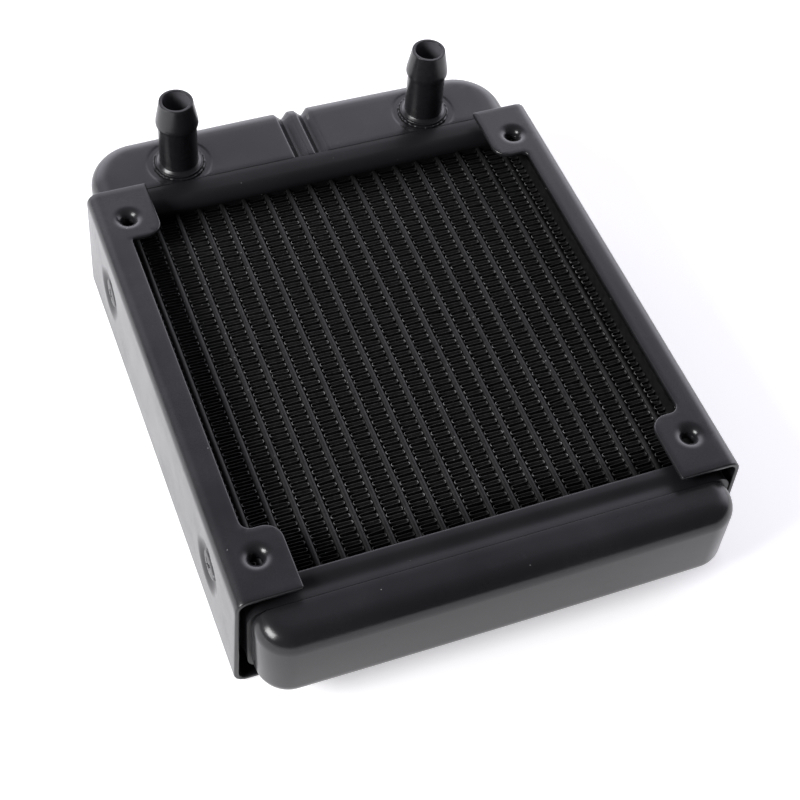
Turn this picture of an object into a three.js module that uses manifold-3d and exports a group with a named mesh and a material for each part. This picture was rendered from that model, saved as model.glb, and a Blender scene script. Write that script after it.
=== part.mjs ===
// Liquid cooling radiator for one 120 mm fan: a brazed core of flat tubes and corrugated fins between two
// tanks, held by a folded steel channel on each long side. Both hose fittings are on one tank, so that tank is
// split by a divider and the coolant goes out through one half of the tubes and back through the other.
//
// Millimetres. +Z is the fan side, +Y points at the tank with the hose fittings, +X is to the right.
// While the pieces are made, the origin is the centre of the fan hole pattern on the channels' bottom plane.
// The whole radiator is then moved along Y, so that the origin is the bottom centre of its bounding box.
import * as THREE from 'three';
import { mergeVertices } from 'three/addons/utils/BufferGeometryUtils.js';
import Module from 'manifold-3d';

const wasm = await Module();
wasm.setup();

// ---- driving dimensions ------------------------------------------------------------------------------------
const HEIGHT = 33;                 // across the channels' two flanges
const MID_Z = HEIGHT - 15;         // middle of the core and tanks, a little nearer the fan side
const CLEARANCE = 0.12;            // between neighbouring solids

const FAN_HOLE_SPACING = 105;      // the standard square of a 120 mm fan
const FAN_HOLE_D = 3.5;
const DIMPLE_D = 8.4;
const DIMPLE_DEPTH = 1.4;
const DIMPLE_FLOOR_D = 4.6;

const CHANNEL_X = 60.6;            // outer face of each channel at the top
const CHANNEL_SPLAY = 0.6;         // how much further out its face is at the bottom
const CHANNEL_LENGTH = 126.4;
const SHEET = 1.2;
const BEND_RADIUS = 3.0;
const FLANGE_INNER_X = 53.4;       // edge of the narrow flange
const TAB_INNER_X = 45.2;          // edge of the corner tabs
const TAB_LENGTH = 18.0;
const TAB_CORNER_RADIUS = 4.2;
const TAB_FILLET_RADIUS = 2.4;

const SCREW_Y = 42.5;
const SCREW_PAD_D = 15.6;
const SCREW_PAD_FLOOR_D = 9.4;
const SCREW_PAD_DEPTH = 1.2;
const SCREW_HEAD_D = 7.6;
const SCREW_HEAD_HEIGHT = 1.0;
const SCREW_SHANK_D = 3.0;
const SCREW_LENGTH = 2.8;          // from the seat to the tip, just short of the fins
const SCREW_HOLE_D = 3.6;
const CROSS_WIDTH = 1.1;
const CROSS_SPAN = 4.2;
const CROSS_DEPTH = 0.7;

const TUBE_COUNT = 18;
const TUBE_PITCH = 6.0;
const TUBE_THICKNESS = 1.7;
const TUBE_WALL = 0.35;
const CORE_DEPTH = 16;
const TUBE_END_Y = 60.2;
const FIN_END_Y = 56.7;
const FIN_WAVES = 12;
const FIN_SHEET = 0.36;

const SIDE_PLATE_X = 54.3;         // inner face
const SIDE_PLATE_THICKNESS = 1.2;
const SIDE_PLATE_HEIGHT = 22.6;
const SCREW_BOSS_D = 6.4;
const SCREW_BOSS_DEPTH = 2.35;

const HEADER_X = 58.2;
const HEADER_HEIGHT = 23;
const HEADER_FACE_Y = 57.0;
const HEADER_SHEET = 1.2;
const HEADER_EDGE_RADIUS = 3.0;
const HEADER_CORNER_RADIUS = 4.0;
const HEADER_RIM_Y = 62.0;
const HEADER_NECK_INSET = 1.1;
const SPIGOT_END_Y = 65.6;

const TANK_MOUTH_Y = 64.1;
const TANK_X = 57.4;
const TANK_HEIGHT = 23.2;
const TANK_WALL = 1.5;
const TANK_EDGE_RADIUS = 5.0;
const RETURN_TANK_END_Y = 74.4;
const RETURN_TANK_CORNER_RADIUS = 7.8;
const RETURN_TANK_BOW = 0.2;
const PORT_TANK_END_Y = 84.4;
const PORT_TANK_CORNER_RADIUS = 13.0;
const PORT_TANK_BOW = 0.4;

const GROOVE_X = 2.55;
const GROOVE_WIDTH = 3.4;
const GROOVE_DEPTH = 1.3;
const RIDGE_OUTER_X = 5.3;
const DIVIDER_THICKNESS = 1.5;

const PORT_X = 34.1;
const PORT_Y = 71.0;
const PORT_RISE = 17.9;            // of the fittings' tips above the channels
const PORT_BORE_D = 7.0;
const PORT_TUBE_D = 9.9;
const PORT_TIP_D = 8.6;
const PORT_BARB_D = 11.0;
const PORT_BARB_LENGTH = 7.4;
const PORT_COLLAR_D = 12.4;
const PORT_BEAD_D = 13.6;
const PORT_COLLAR_HEIGHT = 1.0;
const PORT_SPIGOT_D = 9.4;
const PORT_SPIGOT_LENGTH = 3.0;

const ROUND_SEGMENTS = 12;         // round a screw or a pressing
const PORT_SEGMENTS = 16;          // round a hose fitting
const ARC_SEGMENTS = 2;            // half the chords of each bend or rounded end
const EDGE_STEPS = 3;              // chords of a tank's rounded edge
const CORNER_STEPS = 4;            // chords of a tank's rounded corner

const PORT_TIP_Z = HEIGHT + PORT_RISE;
const CORE_BOTTOM_Z = MID_Z - CORE_DEPTH / 2;
const LAST_TUBE_X = TUBE_PITCH * (TUBE_COUNT - 1) / 2;
const TANK_TOP_Z = MID_Z + TANK_HEIGHT / 2;
const SPIGOT_INSET_X = HEADER_X - TANK_X + TANK_WALL + CLEARANCE;
const SPIGOT_INSET_Z = (HEADER_HEIGHT - TANK_HEIGHT) / 2 + TANK_WALL + CLEARANCE;
const SPIGOT_CORNER_RADIUS = TANK_EDGE_RADIUS - TANK_WALL + 2 * CLEARANCE;
const RETURN_TANK = { endY: RETURN_TANK_END_Y, radius: RETURN_TANK_CORNER_RADIUS, bow: RETURN_TANK_BOW };
const PORT_TANK = { endY: PORT_TANK_END_Y, radius: PORT_TANK_CORNER_RADIUS, bow: PORT_TANK_BOW };

// ---- finishes ----------------------------------------------------------------------------------------------
const paint = (name, color, roughness, metalness) => new THREE.MeshStandardMaterial({
  name, color, roughness, metalness,
});
const FINISH = {
  channel: paint('channel', 0x2a2a2c, 0.42, 0.0),
  tank: paint('tank', 0x232325, 0.38, 0.0),
  core: paint('core', 0x141414, 0.55, 0.0),
  fitting: paint('fitting', 0x1b1b1d, 0.3, 0.0),
  screw: paint('screw', 0x26262a, 0.35, 0.5),
};

// ---- solids ------------------------------------------------------------------------------------------------
// A closed mesh as a manifold-3d solid, so that it can be joined and cut.
function toSolid(geometry) {
  const bare = geometry.clone();
  bare.deleteAttribute('normal');
  bare.deleteAttribute('uv');
  const merged = mergeVertices(bare, 1e-5);
  return new wasm.Manifold(new wasm.Mesh({
    numProp: 3,
    vertProperties: new Float32Array(merged.attributes.position.array),
    triVerts: new Uint32Array(merged.index.array),
  }));
}

function toGeometry(solid) {
  const mesh = solid.getMesh();
  const geometry = new THREE.BufferGeometry();
  geometry.setAttribute('position', new THREE.BufferAttribute(new Float32Array(mesh.vertProperties), 3));
  geometry.setIndex(new THREE.BufferAttribute(new Uint32Array(mesh.triVerts), 1));
  geometry.computeVertexNormals();
  return geometry;
}

// A box between two corners.
function block(low, high) {
  const size = new THREE.Vector3().subVectors(high, low);
  const geometry = new THREE.BoxGeometry(size.x, size.y, size.z);
  const centre = new THREE.Vector3().addVectors(low, high).multiplyScalar(0.5);
  return geometry.translate(centre.x, centre.y, centre.z);
}

const point = (x, y, z) => new THREE.Vector3(x, y, z);

// A solid of revolution about Z from [radius, z] pairs that start and end on the axis, or close on themselves.
function turned(profile, segments) {
  const points = profile.map(([radius, z]) => new THREE.Vector2(radius, z));
  return new THREE.LatheGeometry(points, segments).rotateX(Math.PI / 2);
}

const rod = (diameter, z0, z1, segments) =>
  turned([[0, z0], [diameter / 2, z0], [diameter / 2, z1], [0, z1]], segments);

// A straight prism from an outline in the XY plane, from z0 up to z1.
function prism(shape, z0, z1) {
  const options = { depth: z1 - z0, bevelEnabled: false, curveSegments: ARC_SEGMENTS };
  return new THREE.ExtrudeGeometry(shape, options).translate(0, 0, z0);
}

// A straight prism along Y from an outline in the plane of X and Z, as long on both sides of Y = 0.
const prismAlongY = (shape, halfLength) => prism(shape, -halfLength, halfLength).rotateX(Math.PI / 2);

// A closed solid through a list of outlines that all have the same number of points, from first to last.
// The outlines are convex and run anticlockwise when the last outline is nearest to the eye.
function stacked(rings) {
  const count = rings[0].length;
  const positions = rings.flat().flatMap((p) => [p.x, p.y, p.z]);
  const index = [];
  for (let r = 0; r + 1 < rings.length; r += 1) {
    for (let i = 0; i < count; i += 1) {
      const j = (i + 1) % count;
      const [a, b, c, d] = [r * count + i, r * count + j, (r + 1) * count + j, (r + 1) * count + i];
      index.push(a, b, c, a, c, d);
    }
  }
  const top = (rings.length - 1) * count;
  for (let i = 1; i + 1 < count; i += 1) {
    index.push(0, i + 1, i);
    index.push(top, top + i, top + i + 1);
  }
  const geometry = new THREE.BufferGeometry();
  geometry.setAttribute('position', new THREE.Float32BufferAttribute(positions, 3));
  geometry.setIndex(index);
  return geometry;
}

// ---- channels ----------------------------------------------------------------------------------------------
// The C section of the right channel, open towards -X, drawn in the plane of X and Z. Its flanges reach a
// little too far, and the plan below trims them.
function channelSection() {
  const inner = BEND_RADIUS - SHEET;
  const high = CHANNEL_X - BEND_RADIUS;
  const low = high + CHANNEL_SPLAY;
  const open = TAB_INNER_X - 1;
  const shape = new THREE.Shape();
  shape.moveTo(open, 0);
  shape.lineTo(low, 0);
  shape.absarc(low, BEND_RADIUS, BEND_RADIUS, -Math.PI / 2, 0, false);
  shape.absarc(high, HEIGHT - BEND_RADIUS, BEND_RADIUS, 0, Math.PI / 2, false);
  shape.lineTo(open, HEIGHT);
  shape.lineTo(open, HEIGHT - SHEET);
  shape.absarc(high, HEIGHT - BEND_RADIUS, inner, Math.PI / 2, 0, true);
  shape.absarc(low, BEND_RADIUS, inner, 0, -Math.PI / 2, true);
  shape.lineTo(open, SHEET);
  return shape;
}

// The channel seen from above: narrow flanges with a wider tab at each end for the fan screws.
function channelPlan() {
  const end = CHANNEL_LENGTH / 2;
  const notch = end - TAB_LENGTH;
  const shape = new THREE.Shape();
  shape.moveTo(CHANNEL_X + 2, -end);
  shape.lineTo(CHANNEL_X + 2, end);
  shape.lineTo(TAB_INNER_X, end);
  shape.lineTo(TAB_INNER_X, notch + TAB_CORNER_RADIUS);
  shape.absarc(TAB_INNER_X + TAB_CORNER_RADIUS, notch + TAB_CORNER_RADIUS, TAB_CORNER_RADIUS,
    Math.PI, Math.PI * 1.5, false);
  shape.lineTo(FLANGE_INNER_X - TAB_FILLET_RADIUS, notch);
  shape.absarc(FLANGE_INNER_X - TAB_FILLET_RADIUS, notch - TAB_FILLET_RADIUS, TAB_FILLET_RADIUS,
    Math.PI / 2, 0, true);
  shape.lineTo(FLANGE_INNER_X, -notch + TAB_FILLET_RADIUS);
  shape.absarc(FLANGE_INNER_X - TAB_FILLET_RADIUS, -notch + TAB_FILLET_RADIUS, TAB_FILLET_RADIUS,
    0, -Math.PI / 2, true);
  shape.lineTo(TAB_INNER_X + TAB_CORNER_RADIUS, -notch);
  shape.absarc(TAB_INNER_X + TAB_CORNER_RADIUS, -notch - TAB_CORNER_RADIUS, TAB_CORNER_RADIUS,
    Math.PI / 2, Math.PI, false);
  shape.lineTo(TAB_INNER_X, -end);
  return shape;
}

// A round pressed dimple in a sheet whose outer face is z = 0, pressed towards -Z, with a hole in its floor.
// It returns the metal to add and the space and the hole to cut.
function pressing(mouthD, floorD, depth, holeD) {
  const mouth = mouthD / 2;
  const floor = floorD / 2;
  const slope = (mouth - floor) / depth;
  const bottom = -SHEET - depth;
  const metal = [[0, -SHEET / 2], [mouth, -SHEET / 2], [floor + 0.5 * SHEET, bottom], [0, bottom]];
  const space = [[0, -depth], [floor, -depth], [mouth + slope, 1], [0, 1]];
  return {
    metal: turned(metal.reverse(), ROUND_SEGMENTS),
    space: turned(space, ROUND_SEGMENTS),
    hole: rod(holeD, bottom - 1, 1, ROUND_SEGMENTS),
  };
}

// The channel's outer face at the height of its bracket screws.
const screwFaceX = CHANNEL_X + CHANNEL_SPLAY * (HEIGHT - BEND_RADIUS - MID_Z) / (HEIGHT - 2 * BEND_RADIUS);

// The right channel, at +X.
function channelSolid() {
  const section = prismAlongY(channelSection(), CHANNEL_LENGTH / 2 + 1);
  let solid = toSolid(section).intersect(toSolid(prism(channelPlan(), -1, HEIGHT + 1)));
  const half = FAN_HOLE_SPACING / 2;
  const press = ({ metal, space, hole }, matrix) => {
    solid = solid.add(toSolid(metal.applyMatrix4(matrix)));
    solid = solid.subtract(toSolid(space.applyMatrix4(matrix)));
    solid = solid.subtract(toSolid(hole.applyMatrix4(matrix)));
  };
  for (const side of [-1, 1]) {
    const up = new THREE.Matrix4().makeTranslation(half, side * half, HEIGHT);
    const down = new THREE.Matrix4().makeTranslation(half, side * half, 0)
      .multiply(new THREE.Matrix4().makeRotationX(Math.PI));
    const out = new THREE.Matrix4().makeTranslation(screwFaceX, side * SCREW_Y, MID_Z)
      .multiply(new THREE.Matrix4().makeRotationY(Math.PI / 2));
    press(pressing(DIMPLE_D, DIMPLE_FLOOR_D, DIMPLE_DEPTH, FAN_HOLE_D), up);
    press(pressing(DIMPLE_D, DIMPLE_FLOOR_D, DIMPLE_DEPTH, FAN_HOLE_D), down);
    press(pressing(SCREW_PAD_D, SCREW_PAD_FLOOR_D, SCREW_PAD_DEPTH, SCREW_HOLE_D), out);
  }
  return solid;
}

// A low pan head screw with a cross recess. Its seat is z = 0 and its head is above that.
function screwSolid() {
  const head = SCREW_HEAD_D / 2;
  const shank = SCREW_SHANK_D / 2;
  const body = turned([
    [0, -SCREW_LENGTH], [shank - 0.4, -SCREW_LENGTH], [shank, -SCREW_LENGTH + 0.5], [shank, 0], [head, 0],
    [head, 0.35], [head - 0.5, SCREW_HEAD_HEIGHT - 0.1], [head - 1.2, SCREW_HEAD_HEIGHT], [0, SCREW_HEAD_HEIGHT],
  ], ROUND_SEGMENTS);
  let solid = toSolid(body);
  for (const angle of [0, Math.PI / 2]) {
    const slot = new THREE.BoxGeometry(CROSS_SPAN, CROSS_WIDTH, 2 * CROSS_DEPTH).rotateZ(angle);
    solid = solid.subtract(toSolid(slot.translate(0, 0, SCREW_HEAD_HEIGHT)));
  }
  return solid;
}

// ---- core --------------------------------------------------------------------------------------------------
// A flat oval of the tube's cross section in the plane of X and Z, grown by `grow` all round.
function ovalShape(grow) {
  const radius = TUBE_THICKNESS / 2 + grow;
  const reach = CORE_DEPTH / 2 - TUBE_THICKNESS / 2;
  const shape = new THREE.Shape();
  shape.absarc(0, reach, radius, 0, Math.PI, false);
  shape.absarc(0, -reach, radius, Math.PI, Math.PI * 2, false);
  return shape;
}

const ovalPrism = (grow, halfLength) => prismAlongY(ovalShape(grow), halfLength).translate(0, 0, MID_Z);

const tubeSolid = () =>
  toSolid(ovalPrism(0, TUBE_END_Y)).subtract(toSolid(ovalPrism(-TUBE_WALL, TUBE_END_Y + 1)));

// One corrugated strip that fills a gap of the given width, centred on X = 0. Both edges of the sheet are
// zigzags, and the outer point of one edge lies opposite the inner point of the other.
function finGeometry(width) {
  const reach = width / 2 - CLEARANCE;
  const step = FIN_END_Y / FIN_WAVES;
  const inner = reach - FIN_SHEET * Math.hypot(1, 2 * reach / step);
  const right = [];
  const left = [];
  for (let i = 0; i <= 2 * FIN_WAVES; i += 1) {
    const y = i * step - FIN_END_Y;
    const bendsLeft = i % 2 === 0;
    right.push(new THREE.Vector2(bendsLeft ? -inner : reach, y));
    left.unshift(new THREE.Vector2(bendsLeft ? -reach : inner, y));
  }
  return prism(new THREE.Shape([...right, ...left]), CORE_BOTTOM_Z + 0.2, CORE_BOTTOM_Z + CORE_DEPTH - 0.2);
}

// The strip that closes the core at +X, with a pressed boss behind each bracket screw.
function sidePlateSolid() {
  const outer = SIDE_PLATE_X + SIDE_PLATE_THICKNESS;
  const end = HEADER_FACE_Y - CLEARANCE;
  const half = SIDE_PLATE_HEIGHT / 2;
  let solid = toSolid(block(point(SIDE_PLATE_X, -end, MID_Z - half), point(outer, end, MID_Z + half)));
  for (const y of [-SCREW_Y, SCREW_Y]) {
    const boss = rod(SCREW_BOSS_D, -0.5, SCREW_BOSS_DEPTH, ROUND_SEGMENTS);
    const hole = rod(SCREW_SHANK_D + 0.3, -4, 4, ROUND_SEGMENTS);
    const matrix = new THREE.Matrix4().makeTranslation(outer, y, MID_Z)
      .multiply(new THREE.Matrix4().makeRotationY(Math.PI / 2));
    solid = solid.add(toSolid(boss.applyMatrix4(matrix))).subtract(toSolid(hole.applyMatrix4(matrix)));
  }
  return solid;
}

// ---- headers and tanks -------------------------------------------------------------------------------------
// The fractions from 0 to 1 in equal steps.
const stepsTo = (count) => Array.from({ length: count + 1 }, (_, i) => i / count);

// A rounded rectangle in the plane of X and Z at one Y.
function roundedSection(y, halfWidth, halfHeight, radius) {
  const corners = [[1, 1], [-1, 1], [-1, -1], [1, -1]];
  return corners.flatMap(([sx, sz], quarter) => stepsTo(EDGE_STEPS).map((part) => {
    const angle = (quarter + part) * Math.PI / 2;
    const x = sx * (halfWidth - radius) + radius * Math.cos(angle);
    const z = MID_Z + sz * (halfHeight - radius) + radius * Math.sin(angle);
    return point(x, y, z);
  }));
}

// The rear header: a pan whose flat face holds the tube ends, with a rounded rim that narrows to a spigot
// inside the tank's mouth. A station is [y, inset of the sides, inset of top and bottom, corner radius].
// A notched spigot clears the ridges that the port tank's grooves press into its inside.
function headerSolid(notched) {
  const r = HEADER_EDGE_RADIUS;
  const lipY = TANK_MOUTH_Y - CLEARANCE;
  const edge = stepsTo(EDGE_STEPS).map((part) => {
    const angle = part * Math.PI / 2;
    const inset = r * (1 - Math.sin(angle));
    return [HEADER_FACE_Y + r * (1 - Math.cos(angle)), inset, inset, HEADER_CORNER_RADIUS - inset];
  });
  const outside = [
    ...edge,
    [HEADER_RIM_Y, 0, 0, HEADER_CORNER_RADIUS],
    [lipY, HEADER_NECK_INSET, HEADER_NECK_INSET, HEADER_CORNER_RADIUS],
    [lipY, SPIGOT_INSET_X, SPIGOT_INSET_Z, SPIGOT_CORNER_RADIUS],
    [SPIGOT_END_Y, SPIGOT_INSET_X, SPIGOT_INSET_Z, SPIGOT_CORNER_RADIUS],
  ];
  const inside = [HEADER_FACE_Y + HEADER_SHEET, SPIGOT_END_Y + 1].map((y) => [
    y, SPIGOT_INSET_X + HEADER_SHEET, SPIGOT_INSET_Z + HEADER_SHEET, SPIGOT_CORNER_RADIUS - HEADER_SHEET,
  ]);
  const shell = (stations) => toSolid(stacked(stations.map(([y, insetX, insetZ, radius]) =>
    roundedSection(y, HEADER_X - insetX, HEADER_HEIGHT / 2 - insetZ, radius)).reverse()));
  let solid = shell(outside).subtract(shell(inside));
  for (let i = 0; i < TUBE_COUNT; i += 1) {
    const slot = ovalPrism(CLEARANCE / 2, TUBE_END_Y + 1);
    solid = solid.subtract(toSolid(slot.translate(i * TUBE_PITCH - LAST_TUBE_X, 0, 0)));
  }
  if (notched) {
    const x = RIDGE_OUTER_X + CLEARANCE;
    const reach = TANK_HEIGHT / 2 - TANK_WALL - GROOVE_DEPTH - CLEARANCE;
    for (const side of [-1, 1]) {
      const [z0, z1] = [MID_Z + side * reach, MID_Z + side * HEIGHT].sort((a, b) => a - b);
      solid = solid.subtract(toSolid(block(point(-x, lipY, z0), point(x, SPIGOT_END_Y + 1, z1))));
    }
  }
  return solid;
}

// The outline of a tank seen from above: open mouth at -Y, rounded corners and a slightly bowed end at +Y.
function tankOutline(tank, inset, mouthY, z) {
  const side = TANK_X - inset;
  const r = tank.radius - inset;
  const flat = side - r;
  const end = tank.endY - inset;
  const corner = (sx, quarter) => stepsTo(CORNER_STEPS).map((part) => {
    const angle = (quarter + part) * Math.PI / 2;
    return point(sx * flat + r * Math.cos(angle), end - tank.bow - r + r * Math.sin(angle), z);
  });
  const bow = stepsTo(CORNER_STEPS).slice(1, -1).map((part) => {
    const across = 1 - 2 * part;
    return point(flat * across, end - tank.bow * across * across, z);
  });
  return [point(-side, mouthY, z), point(side, mouthY, z), ...corner(1, 0), ...bow, ...corner(-1, 1)];
}

// A tank as a full block, all its edges rounded except at the mouth, drawn in by `shrink` on every side.
function tankBlock(tank, shrink, mouthY) {
  const half = TANK_HEIGHT / 2 - shrink;
  const edge = TANK_EDGE_RADIUS - shrink;
  const rounded = (side) => stepsTo(EDGE_STEPS).map((part) => {
    const angle = part * Math.PI / 2;
    const inset = shrink + edge * (1 - Math.sin(angle));
    return tankOutline(tank, inset, mouthY, MID_Z + side * (half - edge * (1 - Math.cos(angle))));
  });
  return toSolid(stacked([...rounded(-1), ...rounded(1).reverse()]));
}

// A band of the tank between two X planes that lies outside the block drawn in by `shrink`.
function skinBand(tank, x0, x1, shrink) {
  const slab = toSolid(block(point(x0, TANK_MOUTH_Y - 3, -1), point(x1, tank.endY + 1, HEIGHT + 1)));
  return slab.subtract(tankBlock(tank, shrink, TANK_MOUTH_Y - 4));
}

const returnTankSolid = () => tankBlock(RETURN_TANK, 0, TANK_MOUTH_Y)
  .subtract(tankBlock(RETURN_TANK, TANK_WALL, TANK_MOUTH_Y - 1));

// The tank with the ports. Two pressed grooves run over its top, its end and its bottom, and the metal between
// them seats the divider.
function portTankSolid() {
  let outside = tankBlock(PORT_TANK, 0, TANK_MOUTH_Y);
  let inside = tankBlock(PORT_TANK, TANK_WALL, TANK_MOUTH_Y - 1);
  const seat = DIVIDER_THICKNESS / 2 + CLEARANCE;
  for (const side of [-1, 1]) {
    const groove = [side * GROOVE_X - GROOVE_WIDTH / 2, side * GROOVE_X + GROOVE_WIDTH / 2];
    const ridge = [side * seat, side * RIDGE_OUTER_X].sort((a, b) => a - b);
    outside = outside.subtract(skinBand(PORT_TANK, ...groove, GROOVE_DEPTH));
    inside = inside.subtract(skinBand(PORT_TANK, ...ridge, GROOVE_DEPTH + TANK_WALL));
  }
  let solid = outside.subtract(inside);
  for (const side of [-1, 1]) {
    const hole = rod(PORT_SPIGOT_D + 2 * CLEARANCE, MID_Z, HEIGHT, PORT_SEGMENTS);
    solid = solid.subtract(toSolid(hole.translate(side * PORT_X, PORT_Y, 0)));
  }
  return solid;
}

// The plate between the two halves of the port tank, from the header's inner face to the tank's end wall.
function dividerSolid() {
  const half = DIVIDER_THICKNESS / 2;
  const neckZ = HEADER_HEIGHT / 2 - SPIGOT_INSET_Z - HEADER_SHEET - CLEARANCE;
  const slab = toSolid(block(point(-half, SPIGOT_END_Y + CLEARANCE, 0), point(half, PORT_TANK_END_Y, HEIGHT)));
  const inTank = slab.intersect(tankBlock(PORT_TANK, TANK_WALL + CLEARANCE, TANK_MOUTH_Y));
  const inHeader = block(
    point(-half, HEADER_FACE_Y + HEADER_SHEET + CLEARANCE, MID_Z - neckZ),
    point(half, SPIGOT_END_Y + 1, MID_Z + neckZ),
  );
  return inTank.add(toSolid(inHeader));
}

// A hose fitting: a spigot in the tank wall, a stepped collar on the tank and a tube that ends in one barb.
function fittingGeometry() {
  const seat = TANK_TOP_Z + CLEARANCE / 2;
  const collarTop = seat + PORT_COLLAR_HEIGHT;
  const neck = PORT_TIP_Z - PORT_BARB_LENGTH;
  const [bore, spigot, bead, collar, tube, barb, tip] = [
    PORT_BORE_D, PORT_SPIGOT_D, PORT_BEAD_D, PORT_COLLAR_D, PORT_TUBE_D, PORT_BARB_D, PORT_TIP_D,
  ].map((diameter) => diameter / 2);
  return turned([
    [bore, TANK_TOP_Z - PORT_SPIGOT_LENGTH], [spigot, TANK_TOP_Z - PORT_SPIGOT_LENGTH], [spigot, seat],
    [bead, seat], [bead, seat + 0.2], [collar, seat + 0.45], [collar, collarTop - 0.15],
    [collar - 0.2, collarTop], [tube + 0.5, collarTop], [tube, collarTop + 0.6], [tube, neck],
    [barb - 0.2, neck + 0.1], [barb, neck + 0.5], [barb - 0.1, neck + 1.4],
    [tip, PORT_TIP_Z - 0.2], [tip - 0.15, PORT_TIP_Z], [bore + 0.15, PORT_TIP_Z], [bore, PORT_TIP_Z - 0.2],
    [bore, TANK_TOP_Z - PORT_SPIGOT_LENGTH],
  ], PORT_SEGMENTS);
}

// ---- assembly ----------------------------------------------------------------------------------------------
const radiator = new THREE.Group();
radiator.position.y = (RETURN_TANK_END_Y - PORT_TANK_END_Y) / 2;

function addPart(name, geometry, material) {
  const mesh = new THREE.Mesh(geometry, material);
  mesh.name = name;
  radiator.add(mesh);
  return mesh;
}

const twoDigits = (number) => String(number).padStart(2, '0');

const channel = toGeometry(channelSolid());
addPart('side_channel_right', channel, FINISH.channel);
addPart('side_channel_left', channel, FINISH.channel).rotation.z = Math.PI;

const screw = toGeometry(screwSolid());
const screwSeatX = screwFaceX - SCREW_PAD_DEPTH + CLEARANCE / 2;
for (const [side, sx] of [['left', -1], ['right', 1]]) {
  for (const [end, sy] of [['front', -1], ['rear', 1]]) {
    const mesh = addPart(`channel_screw_${side}_${end}`, screw, FINISH.screw);
    mesh.position.set(sx * screwSeatX, sy * SCREW_Y, MID_Z);
    mesh.rotation.y = sx * Math.PI / 2;
  }
}

const sidePlate = toGeometry(sidePlateSolid());
addPart('core_side_plate_right', sidePlate, FINISH.core);
addPart('core_side_plate_left', sidePlate, FINISH.core).rotation.z = Math.PI;

addPart('header_rear', toGeometry(headerSolid(true)), FINISH.tank);
addPart('header_front', toGeometry(headerSolid(false)), FINISH.tank).rotation.z = Math.PI;

addPart('return_tank', toGeometry(returnTankSolid()), FINISH.tank).rotation.z = Math.PI;
addPart('port_tank', toGeometry(portTankSolid()), FINISH.tank);
addPart('tank_divider', toGeometry(dividerSolid()), FINISH.core);

for (const [name, side] of [['inlet_fitting', -1], ['outlet_fitting', 1]]) {
  addPart(name, fittingGeometry(), FINISH.fitting).position.set(side * PORT_X, PORT_Y, 0);
}

const tube = toGeometry(tubeSolid());
for (let i = 0; i < TUBE_COUNT; i += 1) {
  addPart(`flat_tube_${twoDigits(i + 1)}`, tube, FINISH.core).position.x = i * TUBE_PITCH - LAST_TUBE_X;
}

const innerFin = finGeometry(TUBE_PITCH - TUBE_THICKNESS);
const lastTubeFace = LAST_TUBE_X + TUBE_THICKNESS / 2;
const outerFin = finGeometry(SIDE_PLATE_X - lastTubeFace);
const outerFinX = (SIDE_PLATE_X + lastTubeFace) / 2;
for (let i = 0; i <= TUBE_COUNT; i += 1) {
  const side = i === 0 ? -1 : 1;
  const outer = i === 0 || i === TUBE_COUNT;
  const mesh = addPart(`fin_strip_${twoDigits(i + 1)}`, outer ? outerFin : innerFin, FINISH.core);
  mesh.position.x = outer ? side * outerFinX : (i - 0.5) * TUBE_PITCH - LAST_TUBE_X;
}

export default radiator;
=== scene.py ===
import math
import random

import bpy
import numpy as np
from mathutils import Matrix, Vector
from mathutils.geometry import delaunay_2d_cdt


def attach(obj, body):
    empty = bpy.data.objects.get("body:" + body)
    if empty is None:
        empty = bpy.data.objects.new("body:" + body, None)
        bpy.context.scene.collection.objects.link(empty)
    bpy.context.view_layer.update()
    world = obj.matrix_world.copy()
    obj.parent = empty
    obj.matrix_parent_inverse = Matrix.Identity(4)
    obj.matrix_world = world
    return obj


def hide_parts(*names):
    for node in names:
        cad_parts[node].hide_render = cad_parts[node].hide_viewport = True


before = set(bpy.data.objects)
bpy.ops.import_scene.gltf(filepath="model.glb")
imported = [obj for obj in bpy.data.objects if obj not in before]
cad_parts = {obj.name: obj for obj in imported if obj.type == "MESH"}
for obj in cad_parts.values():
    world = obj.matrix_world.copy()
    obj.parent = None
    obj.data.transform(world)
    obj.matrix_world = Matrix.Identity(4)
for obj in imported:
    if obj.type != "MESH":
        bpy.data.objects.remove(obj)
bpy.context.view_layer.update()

# Everything is worked out in millimetres, in the frame in which the channels' bottom plane is z = 0 and the
# fan hole pattern is centred on the Z axis. The object's row frame is that one moved along Y.
MM = 0.001
SHIFT_Y = -5.0
HEIGHT = 33.0
MID_Z = HEIGHT - 15.0

FAN_HOLE = 52.5          # from the middle, along X and along Y
FAN_HOLE_R = 1.55
DIMPLE_R = 4.35
DIMPLE_DEPTH = 1.4
THREAD_PITCH = 0.7
COLLAR_R = 2.5
COLLAR_DEPTH = 1.0

CHANNEL_X = 60.6
CHANNEL_SPLAY = 0.6
CHANNEL_END_Y = 63.2
SHEET = 1.2
BEND_R = 3.0
FLANGE_X = 53.4
TAB_X = 45.2
TAB_Y = 45.2             # where the tabs begin
SCREW_Y = 42.5
SCREW_HOLE_R = 1.8
PAD_R = 7.8
PAD_FLOOR_R = 3.9
PAD_DEPTH = 1.2

TUBES = 18
PITCH = 6.0
TUBE_R = 0.78
TUBE_WALL = 0.35
TUBE_END_Y = 60.2
CORE_HALF = 8.0
FIN_END_Y = 56.7
FIN_WAVES = 62
FIN_SHEET = 0.12
OUTER_FIN_X = 54.3
FIN_TOP_Z = MID_Z + CORE_HALF - 0.35

HEADER_X = 58.2
HEADER_HALF = 11.5
HEADER_Y = 57.0
HEADER_R = 4.0
HEADER_EDGE = 3.3
EDGE_Y = 3.6             # how far the rounded edge reaches from the face
HEADER_END_Y = 64.06
HEADER_SHEET = 1.2

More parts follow.
